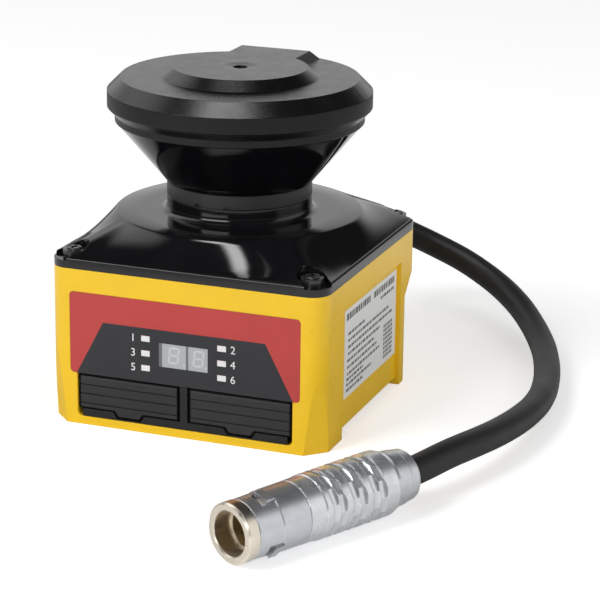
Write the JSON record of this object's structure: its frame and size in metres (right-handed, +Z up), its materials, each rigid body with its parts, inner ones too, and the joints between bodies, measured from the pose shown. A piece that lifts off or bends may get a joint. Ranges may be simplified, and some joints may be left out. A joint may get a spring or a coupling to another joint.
{
  "type": "safety laser scanner",
  "caption": "Compact safety laser scanner: yellow box housing, black domed cover, conical scan window under a round cap, and a rear cable with a push-pull circular connector.",
  "frame": {"origin": "bottom centre of the housing, level with the underside of the foot bars", "axes": "+Z up along the scanning axis, front panel towards -Y, cable outlet towards +Y"},
  "size_m": [0.1292, 0.2203, 0.095],
  "materials": {
    "yellow_housing": "fine satin powder coat",
    "gloss_black_cover": "high gloss moulded black",
    "dark_grey_ring": "matt dark grey",
    "dark_window": "glossy dark infrared-passing plastic",
    "satin_black": "fine textured satin black",
    "red_label": "printed label with a satin face",
    "white_light_pipe": "translucent white",
    "smoked_display": "smoked clear plastic",
    "display_grey": "light grey display face",
    "green_board": "solder resist on glass fibre laminate",
    "screw_steel": "bright zinc-plated steel",
    "charcoal_hatch": "matt charcoal moulding",
    "black_rubber": "matt black elastomer",
    "ivory_plastic": "ivory connector body",
    "brass_parts": "turned brass",
    "cast_aluminium": "machined aluminium",
    "copper_winding": "enamelled copper windings on laminations",
    "bearing_steel": "ground steel",
    "rotor_steel": "dark plated steel",
    "dark_magnet": "dark sintered magnet",
    "black_plastic": "matt black moulding",
    "mirror_glass": "front-surface mirror",
    "lens_glass": "clear coated lens",
    "white_label": "white film label",
    "cable_jacket": "matt black cable jacket",
    "connector_chrome": "satin matt chrome",
    "olive_insert": "dark olive insulating insert",
    "gold_contacts": "gold-plated contacts"
  },
  "bodies": {
    "housing": {"base_housing": "yellow_housing", "cover_gasket": "black_rubber", "top_cover": "gloss_black_cover", "cover_screws": "screw_steel", "window_base_ring": "dark_grey_ring", "optical_window": "dark_window", "window_top_ring": "satin_black", "rear_pillar": "satin_black", "top_cap": "satin_black", "front_label": "red_label", "led_light_pipes": "white_light_pipe", "display_window": "smoked_display", "display_digits": "display_grey", "display_board": "green_board", "display_screws": "screw_steel", "hatch_frame": "satin_black", "usb_socket": "screw_steel", "service_socket": "ivory_plastic", "main_board": "green_board", "board_spacers": "brass_parts", "power_board": "green_board", "board_screws": "screw_steel", "motor_base": "cast_aluminium", "motor_stator": "copper_winding", "upper_bearing": "bearing_steel", "lower_bearing": "bearing_steel", "encoder_sensor": "black_plastic", "optics_barrel": "black_plastic", "receiver_lens": "lens_glass", "laser_module": "brass_parts", "receiver_board": "green_board", "rating_label": "white_label", "cable_gland": "black_plastic", "gland_nut": "rotor_steel", "strain_relief": "black_rubber", "cable": "cable_jacket", "connector_core": "connector_chrome", "latch_tabs": "rotor_steel", "back_nut": "connector_chrome", "pin_insert": "olive_insert", "contact_pins": "gold_contacts"},
    "scanner_rotor": {"spindle": "bearing_steel", "rotor_bell": "rotor_steel", "rotor_magnet": "dark_magnet", "encoder_disc": "bearing_steel", "mirror_holder": "cast_aluminium", "scan_mirror": "mirror_glass"},
    "left_hatch": {"left_hatch": "charcoal_hatch", "left_hatch_seal": "black_rubber"},
    "right_hatch": {"right_hatch": "charcoal_hatch", "right_hatch_seal": "black_rubber"},
    "release_sleeve": {"front_shell": "connector_chrome", "grip_sleeve": "connector_chrome"}
  },
  "joints": [
    {"name": "head_spin", "type": "hinge", "parent": "housing", "child": "scanner_rotor", "pos_m": [0, 0, 0.08], "axis": [0, 0, 1], "continuous": true},
    {"name": "left_hatch_hinge", "type": "hinge", "parent": "housing", "child": "left_hatch", "pos_m": [-0.01655, -0.0386, 0.0133], "axis": [-1, 0, 0], "range_deg": [0, 95]},
    {"name": "right_hatch_hinge", "type": "hinge", "parent": "housing", "child": "right_hatch", "pos_m": [0.01655, -0.0386, 0.0133], "axis": [-1, 0, 0], "range_deg": [0, 95]},
    {"name": "release_slide", "type": "slide", "parent": "housing", "child": "release_sleeve", "axis": [0.454, 0.891, 0.0079], "range_m": [0, 0.0015], "stiffness_N_per_m": 2000, "springref_m": -0.0005}
  ]
}
